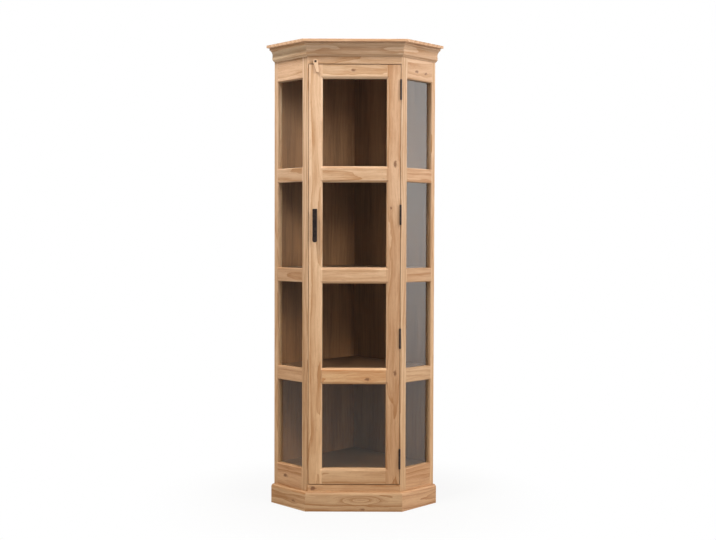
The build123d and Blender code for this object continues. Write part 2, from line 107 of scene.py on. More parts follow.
def length_of(tree, vector):
    """The length of a vector."""
    return place(tree, "VectorMath", {0: vector}, operation="LENGTH").outputs["Value"]


def ramp(tree, value, start, end, low=0.0, high=1.0):
    """A smooth step from low to high as value goes from start to end."""
    values = {"Value": value, "From Min": start, "From Max": end, "To Min": low, "To Max": high}
    node = place(tree, "MapRange", values, interpolation_type="SMOOTHSTEP")
    return node.outputs["Result"]


def tint(tree, factor, first, second, blend_type="MIX"):
    """A mix of two colours. A Mix node keeps its colours in sockets 6 and 7, the result in 2."""
    inputs = {0: factor, 6: first, 7: second}
    node = place(tree, "Mix", inputs, data_type="RGBA", blend_type=blend_type)
    return node.outputs[2]


# %% The end of a material
def end_in_surface(tree, relief, height, inputs):
    """A Principled surface with a bump. relief is its strength and its depth in metres."""
    strength, distance = relief
    bump = place(tree, "Bump", {"Strength": strength, "Distance": distance, "Height": height})
    surface = place(tree, "BsdfPrincipled", {**inputs, "Normal": bump.outputs["Normal"]})
    place(tree, "OutputMaterial", {"Surface": surface.outputs[0]})


# %% A node group
def new_group(name, takes, gives):
    """A shader node group with named sockets: the group, its inputs and its outputs."""
    group = bpy.data.node_groups.new(name, "ShaderNodeTree")
    for label, kind in takes.items():
        group.interface.new_socket(label, in_out="INPUT", socket_type="NodeSocket" + kind)
    for label, kind in gives.items():
        group.interface.new_socket(label, in_out="OUTPUT", socket_type="NodeSocket" + kind)
    taken = group.nodes.new("NodeGroupInput").outputs
    given = group.nodes.new("NodeGroupOutput").inputs
    return group, taken, given


# %% [markdown]
# ## The wood's grain
#
# The cabinet is solid light wood with a clear, soft finish. Its boards show long arches
# where a saw cut through the yearly rings, fine fibres, tiny pores, and here and there
# a knot. A picture of wood could be wrapped on each board, but it would repeat, and
# stretch at the ends. Here the wood is worked out in space instead: rings round a pith
# that lies some centimetres off the board, bent a little along the length. Every cut
# through it then looks right, end grain too. All boards share this group, and each gives
# it its own place in the tree.

# %% The marks in the wood, by how many fit in a metre along and across the grain
WANDER = {"stretch": (2.3, 5.0, 5.0), "reach": 0.045}
RIPPLE = {"stretch": (11.0, 48.0, 48.0), "reach": 0.006}
FIBRES = {"stretch": (9.0, 360.0, 360.0), "detail": 3.0, "roughness": 0.6}
THREADS = {"stretch": (3.4, 120.0, 120.0), "detail": 3.0, "roughness": 0.65}
PORES = {"stretch": (42.0, 1500.0, 1500.0), "detail": 1.0}
BANDS = {"stretch": (1.1, 11.0, 11.0)}
# Where in its noise each mark begins to show and where it is at its full strength
FIBRES_SHOW, THREADS_SHOW = (0.35, 0.7), (0.4, 0.66)
PORES_SHOW, BANDS_SHOW = (0.62, 0.72), (0.36, 0.68)
# How much each mark darkens the wood
FIBRE_SHADE, THREAD_SHADE, BAND_SHADE, PORE_SHADE = 0.2, 0.27, 0.34, 0.35
PORE_BROWN = (0.16, 0.075, 0.032, 1.0)
# How rough the finish is, with what fibres and pores add, and the wood's relief
SATIN, FIBRE_ROUGHNESS, PORE_ROUGHNESS = 0.4, 0.16, 0.12
RING_SHARPNESS, RING_RELIEF, PORE_RELIEF = 2.2, 0.25, -0.7


def stretched_noise(tree, vector, stretch, detail=2.0, roughness=0.5):
    """Noise whose spots are drawn out along the grain, which runs along X."""
    inputs = {
        "Vector": move(tree, "MULTIPLY", vector, stretch),
        "Scale": 1.0,
        "Detail": detail,
        "Roughness": roughness,
    }
    return place(tree, "TexNoise", inputs)


def marks(tree, vector, **sizes):
    """How strong a kind of mark is at each point."""
    return stretched_noise(tree, vector, **sizes).outputs["Fac"]


def sway(tree, vector, stretch, reach):
    """A push across the grain that changes along it, at most half the reach each way."""
    noise = stretched_noise(tree, vector, stretch).outputs["Color"]
    push = move(tree, "SUBTRACT", noise, (0.5, 0.5, 0.5))
    return move(tree, "MULTIPLY", push, (0.0, reach, reach))


# %% The grain group
def make_grain():
    """Wood whose grain runs along X, with the pith at the origin of Y and Z."""
    takes = {
        "Vector": "Vector",
        "Light": "Color",
        "Dark": "Color",
        "Ring Scale": "Float",
        "Ring Depth": "Float",
    }
    gives = {"Color": "Color", "Roughness": "Float", "Height": "Float"}
    tree, taken, given = new_group("wood_grain", takes, gives)
    vector = taken["Vector"]
    bent = move(tree, "ADD", vector, sway(tree, vector, **WANDER))
    bent = move(tree, "ADD", bent, sway(tree, vector, **RIPPLE))
    rings = place(
        tree,
        "TexWave",
        {"Vector": bent, "Scale": taken["Ring Scale"], "Distortion": 0.0},
        wave_type="RINGS",
        rings_direction="X",
        wave_profile="SAW",
    ).outputs["Fac"]
    rings = calc(tree, "POWER", rings, RING_SHARPNESS)
    fibres = marks(tree, bent, **FIBRES)
    threads = marks(tree, bent, **THREADS)
    pores = ramp(tree, marks(tree, bent, **PORES), *PORES_SHOW)
    bands = ramp(tree, marks(tree, vector, **BANDS), *BANDS_SHOW)
    shade = calc(tree, "MULTIPLY", rings, taken["Ring Depth"])
    shade = plus(tree, shade, FIBRE_SHADE, ramp(tree, fibres, *FIBRES_SHOW))
    shade = plus(tree, shade, THREAD_SHADE, ramp(tree, threads, *THREADS_SHOW))
    shade = plus(tree, shade, BAND_SHADE, bands)
    colour = tint(tree, calc(tree, "MINIMUM", shade, 1.0), taken["Light"], taken["Dark"])
    colour = tint(tree, calc(tree, "MULTIPLY", pores, PORE_SHADE), colour, PORE_BROWN)
    tree.links.new(colour, given["Color"])
    rough = plus(tree, SATIN, FIBRE_ROUGHNESS, fibres)
    tree.links.new(plus(tree, rough, PORE_ROUGHNESS, pores), given["Roughness"])
    height = plus(tree, fibres, PORE_RELIEF, pores)
    tree.links.new(plus(tree, height, RING_RELIEF, rings), given["Height"])
    return tree


grain = make_grain()
print("grain nodes:", len(grain.nodes))

# %% [markdown]
# ## Knots
#
# A knot is where a branch left the trunk: a dark oval, with the grain flowing round it.
# Painting a dark spot isn't enough, because the lines would run straight through. This
# group also squeezes the grain's coordinates towards the knot, so that lines which
# would have crossed it pass on either side. Boards with no knot leave it out.

# %% The knot group
KNOT_OVAL = (0.55, 0.0, 1.0)
# How its outline wavers, by spots per metre and in radii
KNOT_WAVER_SCALE, KNOT_WAVER = 130.0, 1.6
# Where its colour and its pull on the grain fade out, in radii, and how strong the pull is
KNOT_EDGE, KNOT_REACH, KNOT_PULL = (1.1, 2.0), (0.8, 4.4), 0.8


def radii_away(tree, offset, oval, radius):
    """How many radii a point lies from the middle of an oval on the board's face."""
    flat = move(tree, "MULTIPLY", offset, oval)
    return calc(tree, "DIVIDE", length_of(tree, flat), radius)


def make_knot():
    """A branch that crosses the board along Y: coordinates bent round it, and its mask."""
    takes = {"Vector": "Vector", "Centre": "Vector", "Radius": "Float"}
    gives = {"Vector": "Vector", "Mask": "Float"}
    tree, taken, given = new_group("wood_knot", takes, gives)
    offset = move(tree, "SUBTRACT", taken["Vector"], taken["Centre"])
    noise = {"Vector": taken["Vector"], "Scale": KNOT_WAVER_SCALE}
    uneven = place(tree, "TexNoise", noise).outputs["Fac"]
    away = radii_away(tree, offset, KNOT_OVAL, taken["Radius"])
    away = plus(tree, away, KNOT_WAVER, uneven)
    pull = ramp(tree, away, *KNOT_REACH, KNOT_PULL, 0.0)
    squeeze = place(tree, "CombineXYZ", {"Z": pull}).outputs[0]
    bent = move(tree, "SUBTRACT", taken["Vector"], move(tree, "MULTIPLY", offset, squeeze))
    tree.links.new(bent, given["Vector"])
    tree.links.new(ramp(tree, away, *KNOT_EDGE, 1.0, 0.0), given["Mask"])
    return tree


knot = make_knot()
print("knot nodes:", len(knot.nodes))

# %% [markdown]
# ## An eye in the plinth
#
# The plinth's front shows another figure, an eye: nested ovals with no dark heart. The
# rings were dented towards the pith there, so a flat cut met several of them round one
# spot. A ring texture of its own would show where it stops. This group moves the board's
# own coordinates away from the pith in an oval instead, which is all that such a dent
# does.

# %% The eye group
EYE_OVAL = (0.2, 0.0, 1.0)


def make_eye():
    """A dent in the rings: coordinates moved away from the pith in an oval."""
    takes = {"Vector": "Vector", "Centre": "Vector", "Radius": "Float", "Depth": "Float"}
    tree, taken, given = new_group("wood_eye", takes, {"Vector": "Vector"})
    offset = move(tree, "SUBTRACT", taken["Vector"], taken["Centre"])
    away = radii_away(tree, offset, EYE_OVAL, taken["Radius"])
    dent = calc(tree, "MULTIPLY", ramp(tree, away, 0.0, 1.0, 1.0, 0.0), taken["Depth"])
    push = place(tree, "CombineXYZ", {"Y": dent}).outputs[0]
    tree.links.new(move(tree, "ADD", taken["Vector"], push), given["Vector"])
    return tree


eye = make_eye()
print("eye nodes:", len(eye.nodes))

# %% [markdown]
# ## One finish for each board
#
# In the real cabinet every board was cut from another plank, so neighbours differ in
# tone and in the run of their arches. One material for all would show one plank cut
# through by thin air. So each board gets a material of its own: the same recipe, with
# the grain turned along that board, the pith put at its own place off the face, and a
# tone a little lighter or darker. The numbers come from the board's name, so they never
# change.

# %% Tones of the wood
HONEY = ((0.80, 0.56, 0.375), (0.455, 0.23, 0.10))
DARK_BACK_WOOD = ((0.37, 0.192, 0.091), (0.13, 0.060, 0.025))
DARKER_SHELF_WOOD = ((0.17, 0.092, 0.048), (0.075, 0.038, 0.018))
# Painted shade: the wood is tinted darker from 1.75 m high down to the foot
FOOT_SHADE_HONEY = (0.84, 0.745, 0.605, 1.0)
FOOT_SHADE_FROM, FOOT_SHADE_TO = 1.75, 0.05
KNOT_BROWN, KNOT_STRENGTH = (0.17, 0.065, 0.027, 1.0), 0.82
MOST_RED = 0.86
WOOD_RELIEF, WOOD_GLOSS = (0.22, 0.0005), 0.4


def tone(colour, value, warmth):
    """A colour made lighter or darker, and redder or yellower, by small shares."""
    red, green, blue = (part * value for part in colour)
    return (min(red, MOST_RED), green * (1.0 - warmth), blue * (1.0 - 1.5 * warmth), 1.0)


def paint_foot_shade(tree, point, colour):
    """The colour with painted shade, darker towards the foot."""
    height = place(tree, "SeparateXYZ", {0: point}).outputs["Z"]
    foot_shade = tint(tree, ramp(tree, height, FOOT_SHADE_FROM, FOOT_SHADE_TO), WHITE, FOOT_SHADE_HONEY)
    return tint(tree, 1.0, colour, foot_shade, "MULTIPLY")


# %% [markdown]
# The glazing beads are a case of their own. A node holds the strips on all four edges of
# many panes. The upright ones suit the node's upright grain, but the level ones would
# show it crosswise. They could be made anew as separate pieces. It is simpler to tell
# them by their height and to give them other coordinates, in which the grain lies level.

# %% Beads that lie level
GLASS_GAP, BEAD_WIDTH = 0.001, 0.008
LEVEL_BEAD_PITH = (0.0, 0.06, 0.4)
BEAD_PANES = {
    "door_glazing_beads": ("door_pane_1", "door_pane_2"),
    "side_glazing_beads": ("side_pane_right_1", "side_pane_right_2"),
}


def turn_level_beads(tree, point, vector, panes):
    """Where a bead lies along a pane's foot or head, its grain is turned to run across."""
    foot, head = (corner[2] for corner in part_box(panes[0]))
    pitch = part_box(panes[1])[0][2] - foot
    height = place(tree, "SeparateXYZ", {0: point}).outputs["Z"]
    height = calc(tree, "MODULO", calc(tree, "SUBTRACT", height, foot - GLASS_GAP), pitch)
    low = calc(tree, "LESS_THAN", height, BEAD_WIDTH)
    high = calc(tree, "GREATER_THAN", height, head - foot + 2 * GLASS_GAP - BEAD_WIDTH)
    level = calc(tree, "MAXIMUM", low, high)
    level = place(tree, "CombineXYZ", {"X": level, "Y": level, "Z": level}).outputs[0]
    across = move(tree, "SUBTRACT", move(tree, "ADD", point, LEVEL_BEAD_PITH), vector)
    return move(tree, "ADD", vector, move(tree, "MULTIPLY", across, level))


# %% The recipe of one board
GRAIN_TURNS = {
    "across": (0.0, 0.0, 0.0),
    "flat": (0.0, 0.0, 0.0),
    "upright": (0.0, math.pi / 2, 0.0),
    "right": (0.0, 0.0, -math.pi / 4),
    "left": (0.0, 0.0, math.pi / 4),
}
PITH_OFF, PITH_ASIDE, PITH_ALONG = (0.035, 0.09), (-0.03, 0.03), (-3.0, 3.0)
BRIGHTNESSES, WARMTHS, RING_SCALES = (0.93, 1.05), (-0.03, 0.05), (17.0, 30.0)
RING_DEPTH = 0.5


def add_figures(tree, vector, turn, shift, knots, eyes):
    """Bends the grain round knots and eyes: the coordinates, and the knots' masks."""
    masks = []
    for point, radius in knots:
        inputs = {"Vector": vector, "Centre": turn @ Vector(point) + shift, "Radius": radius}
        figure = place(tree, "Group", inputs, node_tree=knot)
        vector = figure.outputs["Vector"]
        masks.append(figure.outputs["Mask"])
    for point, radius, depth in eyes:
        inputs = {"Vector": vector, "Centre": turn @ Vector(point) + shift, "Radius": radius}
        figure = place(tree, "Group", {**inputs, "Depth": depth}, node_tree=eye)
        vector = figure.outputs["Vector"]
    return vector, masks


def board_finish(
    name, kind, colours=HONEY, knots=(), eyes=(), pith_off=None, ring_depth=RING_DEPTH, value=None
):
    """The material of one board. knots holds (point, radius), eyes (point, radius, depth)."""
    dice = random.Random(name)
    off = dice.uniform(*PITH_OFF) if pith_off is None else pith_off
    aside = dice.uniform(*PITH_ASIDE)
    along = dice.uniform(*PITH_ALONG)
    bright = dice.uniform(*BRIGHTNESSES) if value is None else value
    warmth = dice.uniform(*WARMTHS)
    ring_scale = dice.uniform(*RING_SCALES)

    low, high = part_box(name)
    centre = (Vector(low) + Vector(high)) / 2
    turn = Euler(GRAIN_TURNS[kind]).to_matrix()
    pith = Vector((along, aside, off) if kind == "flat" else (along, off, aside))
    shift = pith - turn @ centre

    material = bpy.data.materials.new(name + "_finish")
    tree = empty_tree(material)
    point = object_point(tree)
    mapping = {"Vector": point, "Location": shift, "Rotation": GRAIN_TURNS[kind]}
    vector = place(tree, "Mapping", mapping).outputs["Vector"]
    if name in BEAD_PANES:
        vector = turn_level_beads(tree, point, vector, BEAD_PANES[name])
    vector, masks = add_figures(tree, vector, turn, shift, knots, eyes)
    light, dark = (tone(colour, bright, warmth) for colour in colours)
    inputs = {
        "Vector": vector,
        "Light": light,
        "Dark": dark,
        "Ring Scale": ring_scale,
        "Ring Depth": ring_depth,
    }
    wood = place(tree, "Group", inputs, node_tree=grain).outputs
    # Painted shade: the colour is made darker towards the foot
    colour = paint_foot_shade(tree, point, wood["Color"])
    for mask in masks:
        colour = tint(tree, calc(tree, "MULTIPLY", mask, KNOT_STRENGTH), colour, KNOT_BROWN)
    look = {
        "Base Color": colour,
        "Roughness": wood["Roughness"],
        "Specular IOR Level": WOOD_GLOSS,
    }
    end_in_surface(tree, WOOD_RELIEF, wood["Height"], look)
    return material


# %% Putting a finish on a piece
def dress(node, material):
    """Gives a CAD node its material, by the slots of its object."""
    piece = nodes[node]
    if not piece.material_slots:
        piece.data.materials.append(material)
    for slot in piece.material_slots:
        slot.material = material


# %% [markdown]
# ## Which way each board runs
#
# A joiner cuts rails with the grain along them and posts with the grain upright, because
# wood is strong along its fibres. The side rails run at 45 degrees in plan. Shelves and
# the top lie flat, with the pith below them. Where the photograph shows a knot, the
# board gets one there: its place on the face is written in metres.

# %% Knots and eyes by their place on a face
FRONT, FRONT_HALF = -0.2048, 0.18
PLINTH_FRONT = FRONT - 0.016
SIDE = math.sqrt(0.5)


def on_right(along, height):
    """A point of the right side's face, along it from the front post's edge."""
    return (FRONT_HALF + along * SIDE, FRONT + along * SIDE, height)


def on_left(along, height):
    """The same on the left side."""
    return (-FRONT_HALF - along * SIDE, FRONT + along * SIDE, height)


KNOTS = {
    "door_stile_right": [
        ((0.155, FRONT, 1.332), 0.008),
        ((0.14, FRONT, 1.165), 0.004),
        ((0.157, FRONT, 0.532), 0.007),
    ],
    "door_top_rail": [((-0.005, FRONT, 1.688), 0.006)],
    "door_lower_rail": [((0.052, FRONT, 0.508), 0.007)],
    "side_top_rail_right": [(on_right(0.085, 1.693), 0.006), (on_right(0.135, 1.69), 0.006)],
    "side_bottom_rail_left": [(on_left(0.125, 0.116), 0.008)],
    "front_bottom_rail": [((-0.158, FRONT, 0.086), 0.009)],
    "plinth_left": [(on_left(0.06, 0.03), 0.006)],
    "plinth_front": [((0.033, PLINTH_FRONT, 0.008), 0.006)],
}
EYES = {"plinth_front": [((0.03, PLINTH_FRONT, 0.045), 0.025, 0.038)]}
print("boards with knots:", len(KNOTS))

# %% Boards by the run of their grain
KINDS = {
    "across": (
        "plinth_front front_bottom_rail front_frieze_rail cornice_front door_bottom_rail "
        "door_lower_rail door_middle_rail door_upper_rail door_top_rail door_stops"
    ),
    "flat": "top_board",
    "upright": (
        "front_post_right front_post_left rear_post_right rear_post_left door_stile_right "
        "door_stile_left side_glazing_beads door_glazing_beads turn_button"
    ),
    "right": (
        "plinth_right cornice_right side_bottom_rail_right side_lower_rail_right "
        "side_middle_rail_right side_upper_rail_right side_top_rail_right"
    ),
    "left": (
        "plinth_left cornice_left side_bottom_rail_left side_lower_rail_left "
        "side_middle_rail_left side_upper_rail_left side_top_rail_left"
    ),
}
PLINTH_PITH_OFF = {"plinth_front": 0.042, "plinth_left": 0.024, "plinth_right": 0.024}
PLINTH_RING_DEPTH = 0.68
# Values for some boards in place of the random ones. Those of the cornice's three faces are
# painted light and shade: darker on its front and right faces, lighter on its left one.
BRIGHTNESS = {
    "rear_post_right": 1.06,
    "door_stile_right": 0.92,
    "door_lower_rail": 1.22,
    "door_middle_rail": 0.96,
    "plinth_front": 0.88,
    "plinth_right": 0.93,
    "cornice_front": 0.86,
    "cornice_right": 0.89,
    "cornice_left": 1.2,
    "front_post_left": 1.0,
    "door_stile_left": 1.03,
    "front_frieze_rail": 1.0,
}
for kind, names in KINDS.items():
    for name in names.split():
        finish = board_finish(
            name,
            kind,
            knots=KNOTS.get(name, ()),
            eyes=EYES.get(name, ()),
            value=BRIGHTNESS.get(name),
            pith_off=PLINTH_PITH_OFF.get(name),
            ring_depth=PLINTH_RING_DEPTH if name in PLINTH_PITH_OFF else RING_DEPTH,
        )
        dress(name, finish)
print("light boards:", len(bpy.data.materials))

# %% [markdown]
# Behind the glass the wood is given darker colours. The two backs are broad and calm, so their
# pith lies far away and their rings are faint. The shelves and the floor board are
# darker still, and plain.

# %% Darker boards inside
BACK_BRIGHTNESS = {"back_panel_right": 0.97, "back_panel_left": 1.0}
BACK_PITH_OFF, BACK_RING_DEPTH = 0.2, 0.14
for name, bright in BACK_BRIGHTNESS.items():
    finish = board_finish(
        name,
        "upright",
        colours=DARK_BACK_WOOD,
        pith_off=BACK_PITH_OFF,
        ring_depth=BACK_RING_DEPTH,
        value=bright,
    )
    dress(name, finish)
SHELVES = "floor_board shelf_lower shelf_middle shelf_upper shelf_cleats"
for name in SHELVES.split():
    dress(name, board_finish(name, "flat", colours=DARKER_SHELF_WOOD))
print("wood materials:", len(bpy.data.materials))

# %% [markdown]
# ## Glass
#
# Each pane is a real 3 mm sheet, so light bends in at one face and out at the other.
# Path tracing can't carry lamp light through glass well: the inside would stay black.
# The usual remedy is used: for shadow rays alone the glass is plain transparent.

# %% The glass
GLASS_CLEAR, GLASS_GREEN = (0.97, 0.985, 0.975, 1.0), (0.93, 0.95, 0.94, 1.0)
GLASS_DRIFT = {"Scale": 4.0, "Detail": 2.0}
GLASS_BEND, MOST_HAZE, HAZE_SHOWS = 1.5, 0.012, (0.35, 0.75)


def make_glass():
    """Clear glass with a trace of green and of haze, which lets lamp light through."""
    material = bpy.data.materials.new("clear_glass_finish")
    tree = empty_tree(material)
    noise = {"Vector": object_point(tree), **GLASS_DRIFT}
    drift = place(tree, "TexNoise", noise).outputs["Fac"]
    look = {
        "Base Color": tint(tree, drift, GLASS_CLEAR, GLASS_GREEN),
        "Roughness": ramp(tree, drift, *HAZE_SHOWS, 0.0, MOST_HAZE),
        "IOR": GLASS_BEND,
        "Transmission Weight": 1.0,
    }
    glass = place(tree, "BsdfPrincipled", look)
    clear = place(tree, "BsdfTransparent", {"Color": GLASS_GREEN})
    shadow = place(tree, "LightPath").outputs["Is Shadow Ray"]
    both = place(tree, "MixShader", {0: shadow, 1: glass.outputs[0], 2: clear.outputs[0]})
    place(tree, "OutputMaterial", {"Surface": both.outputs[0]})
    return material


clear_glass = make_glass()
panes = [name for name in nodes if "_pane_" in name]
for name in panes:
    dress(name, clear_glass)
print("panes:", len(panes))

# %% [markdown]
# ## Dark iron
#
# The handle and the hinges are steel with a brown-black finish, a little blotchy and
# dull. Plain black would lose their form, so the colour drifts between two dark browns
# and the roughness drifts with it, which breaks up the highlights.

# %% The iron
IRON_BLACK, IRON_BROWN = (0.030, 0.022, 0.021, 1.0), (0.062, 0.042, 0.036, 1.0)
BLOTCHES, PITS = {"Scale": 120.0, "Detail": 4.0}, {"Scale": 900.0, "Detail": 2.0}
BROWN_SHOWS, DULL_SHOWS = (0.35, 0.7), (0.3, 0.75)
DULL, DULLEST = 0.38, 0.56
IRON_METAL, IRON_RELIEF = 0.55, (0.25, 0.0002)
IRON_NODES = (
    "hinge_frame_leaves hinge_door_leaves hinge_pins handle_bar handle_posts turn_button_screw"
)


def make_iron():
    """Blotchy brown-black steel with fine pits."""
    material = bpy.data.materials.new("black_iron_finish")
    tree = empty_tree(material)
    point = object_point(tree)
    blotch = place(tree, "TexNoise", {"Vector": point, **BLOTCHES}).outputs["Fac"]
    pits = place(tree, "TexNoise", {"Vector": point, **PITS}).outputs["Fac"]
    look = {
        "Base Color": tint(tree, ramp(tree, blotch, *BROWN_SHOWS), IRON_BLACK, IRON_BROWN),
        "Metallic": IRON_METAL,
        "Roughness": ramp(tree, blotch, *DULL_SHOWS, DULL, DULLEST),
    }
    end_in_surface(tree, IRON_RELIEF, pits, look)
    return material


black_iron = make_iron()
for name in IRON_NODES.split():
    dress(name, black_iron)
print("iron pieces:", len(IRON_NODES.split()))

# %% [markdown]
# ## Screws with a cross slot
#
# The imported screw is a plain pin. A real one has a head with a cross pressed into it,
# and that cross is what the eye looks for. Drawing the cross as a dark patch would fail
# from the side, so the head's top is cut along the slot's edges and the cross is pushed
# down into it. Each head is made upright at the origin, then turned and moved to its
# place, so that one short recipe serves every screw.


# %% Joining shapes
def points_in(geometry):
    """The vertices among the things that an operator gave back."""
    return [item for item in geometry if isinstance(item, bmesh.types.BMVert)]


def join(shape, other):
    """Adds another shape's mesh to this one and frees it."""
    holder = bpy.data.meshes.new("holder")
    other.to_mesh(holder)
    other.free()
    shape.from_mesh(holder)
    bpy.data.meshes.remove(holder)


# %% A screw head
CROWN_SHARE, LID_SHARE = 0.8, 0.9
# How many sides a wide round shape has, and a narrow one
WIDE_ROUND, NARROW_ROUND = 28, 20


def add_screw_head(shape, matrix, radius, rise, slot_width, slot_length, slot_depth):
    """A round head, its rim on the plane Z = 0, its top at Z = rise, with a cross slot."""
    head = bmesh.new()
    bmesh.ops.create_circle(head, cap_ends=True, segments=WIDE_ROUND, radius=radius)
    crown = points_in(bmesh.ops.extrude_face_region(head, geom=head.faces[:])["geom"])
    bmesh.ops.scale(head, verts=crown, vec=(CROWN_SHARE, CROWN_SHARE, 1.0))
    bmesh.ops.translate(head, verts=crown, vec=(0.0, 0.0, rise))
    lid_height = rise * LID_SHARE
    for axis in (Vector((1, 0, 0)), Vector((0, 1, 0))):
        for edge in (-slot_length / 2, -slot_width / 2, slot_width / 2, slot_length / 2):
            lid = [face for face in head.faces if face.calc_center_median().z > lid_height]
            around = {part for face in lid for part in (*face.verts, *face.edges)}
            bmesh.ops.bisect_plane(head, geom=[*lid, *around], plane_co=axis * edge, plane_no=axis)
    cross = []
    for face in head.faces:
        spot = face.calc_center_median()
        near, far = sorted((abs(spot.x), abs(spot.y)))
        if spot.z > lid_height and near < slot_width / 2 and far < slot_length / 2:
            cross.append(face)
    sunk = points_in(bmesh.ops.extrude_face_region(head, geom=cross)["geom"])
    bmesh.ops.delete(head, geom=cross, context="FACES")
    bmesh.ops.translate(head, verts=sunk, vec=(0.0, 0.0, -slot_depth))
    bmesh.ops.recalc_face_normals(head, faces=head.faces)
    bmesh.ops.transform(head, matrix=matrix, verts=head.verts)
    join(shape, head)


# %% Finishing a fitting
SMOOTH_UP_TO = math.radians(35.0)


def finish_piece(shape, name, body, replaced=()):
    """Makes a mesh object of the shape, in iron, riding on a body."""
    mesh = bpy.data.meshes.new(name)
    shape.to_mesh(mesh)
    shape.free()
    mesh.materials.append(black_iron)
    piece = bpy.data.objects.new(name, mesh)
    bpy.context.scene.collection.objects.link(piece)
    mesh.shade_smooth()
    mesh.set_sharp_from_angle(angle=SMOOTH_UP_TO)
    if replaced:
        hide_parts(*replaced)
    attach(piece, body)
    print(name, "faces:", len(mesh.polygons))


# %% The turn button's screw
BUTTON_HEAD = {
    "radius": 0.0042,
    "rise": 0.0012,
    "slot_width": 0.0009,
    "slot_length": 0.0048,
    "slot_depth": 0.0008,
}
SHANK_RADIUS = 0.0021
screw_low, screw_high = (Vector(corner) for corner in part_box("turn_button_screw"))
screw_middle = (screw_low + screw_high) / 2
facing_front = Matrix.Rotation(math.pi / 2, 4, "X")
head_seat = Vector((screw_middle.x, screw_low.y + BUTTON_HEAD["rise"], screw_middle.z))
shape = bmesh.new()
add_screw_head(shape, Matrix.Translation(head_seat) @ facing_front, **BUTTON_HEAD)
shank_length = screw_high.y - head_seat.y
shank_middle = Vector((screw_middle.x, head_seat.y + shank_length / 2, screw_middle.z))
bmesh.ops.create_cone(
    shape,
    cap_ends=True,
    segments=NARROW_ROUND,
    radius1=SHANK_RADIUS,
    radius2=SHANK_RADIUS,
    depth=shank_length,
    matrix=Matrix.Translation(shank_middle) @ facing_front,
)
finish_piece(shape, "button_cross_screw", "carcass", ("turn_button_screw",))

# %% [markdown]
# ## Butt hinges
#
# A butt hinge is two steel leaves that meet in a row of knuckles round one pin. Closed,
# only the knuckles show. Open, each leaf shows three screws in dished holes. The packed
# leaves are plain plates, so these are made anew, a little finer: the plate's outline
# and its holes are filled in one go and given their thickness, and the holes' rims on
# the wood's side are drawn in, which leaves the dish. The knuckles are spun round the
# pin's axis.

# %% Hinge sizes, in metres
# The front face's plane to the last digit, which FRONT rounds
FACE_Y = -0.2047645
PIN_BEFORE_FACE, LEAF_STARTS, LEAF_ENDS = 0.0042, 0.0003, 0.017
HINGE_X, HINGE_Y = 0.176, FACE_Y - PIN_BEFORE_FACE
HINGE_HEIGHTS = (0.201, 0.665, 1.139, 1.615)
HINGE_LENGTH, KNUCKLE_PITCH, KNUCKLE_GAP = 0.075, 0.015, 0.0003
BORE, BARREL, ARRIS = 0.00205, 0.0039, 0.0003
LEAF_NEAR, LEAF_FAR = FACE_Y + LEAF_STARTS, FACE_Y + LEAF_ENDS
# A leaf's two faces, counted from the plane where the leaves meet
LEAF_INNER, LEAF_OUTER = 0.00005, 0.001
# The three holes of a leaf: how far behind FRONT, and how far above the hinge's middle
HOLES = ((0.0115, -0.027), (0.0068, 0.0), (0.0115, 0.027))
HOLE_RADIUS, DISH_RADIUS, RIM_REACH = 0.0019, 0.0034, 1.05
HINGE_HEAD = {
    "radius": 0.0031,
    "rise": 0.00012,
    "slot_width": 0.0006,
    "slot_length": 0.0034,
    "slot_depth": 0.0004,
}
HEAD_SUNK = 0.00022
print("hinge axis:", (HINGE_X, round(HINGE_Y, 5)), "hinges:", len(HINGE_HEIGHTS))


# %% Knuckles
def knuckle_ends(height, index):
    """Where a knuckle starts and ends, counted up from the foot of the hinge at height."""
    start = height - HINGE_LENGTH / 2 + index * KNUCKLE_PITCH + KNUCKLE_GAP / 2
    return start, start + KNUCKLE_PITCH - KNUCKLE_GAP


def make_knuckle(start, end):
    """A tube round the pin's axis, with a small arris at each outer rim."""
    profile = (
        (BORE, start),
        (BARREL - ARRIS, start),
        (BARREL, start + ARRIS),
        (BARREL, end - ARRIS),
        (BARREL - ARRIS, end),
        (BORE, end),
    )
    tube = bmesh.new()
    ring = [tube.verts.new((HINGE_X + radius, HINGE_Y, z)) for radius, z in profile]
    edges = [tube.edges.new((ring[step - 1], point)) for step, point in enumerate(ring)]
    bmesh.ops.spin(
        tube,
        geom=[*ring, *edges],
        cent=(HINGE_X, HINGE_Y, 0.0),
        axis=(0.0, 0.0, 1.0),
        angle=2 * math.pi,
        steps=WIDE_ROUND,
        use_merge=True,
    )
    bmesh.ops.recalc_face_normals(tube, faces=tube.faces)
    return tube


# %% One leaf with its knuckles
def leaf_outline(height, owned):
    """The corners of a leaf, as Y and Z, with a tab into each knuckle that it owns."""
    low = height - HINGE_LENGTH / 2
    tab = HINGE_Y + (BORE + BARREL) / 2
    outline = [(LEAF_FAR, low), (LEAF_NEAR, low)]
    for index in owned:
        start, end = knuckle_ends(height, index)
        outline += [(LEAF_NEAR, start), (tab, start), (tab, end), (LEAF_NEAR, end)]
    return outline + [(LEAF_NEAR, low + HINGE_LENGTH), (LEAF_FAR, low + HINGE_LENGTH)]


def hole_spots(x, height):
    """The middles of a leaf's holes on the plane at x."""
    return [Vector((x, FRONT + back, height + rise)) for back, rise in HOLES]


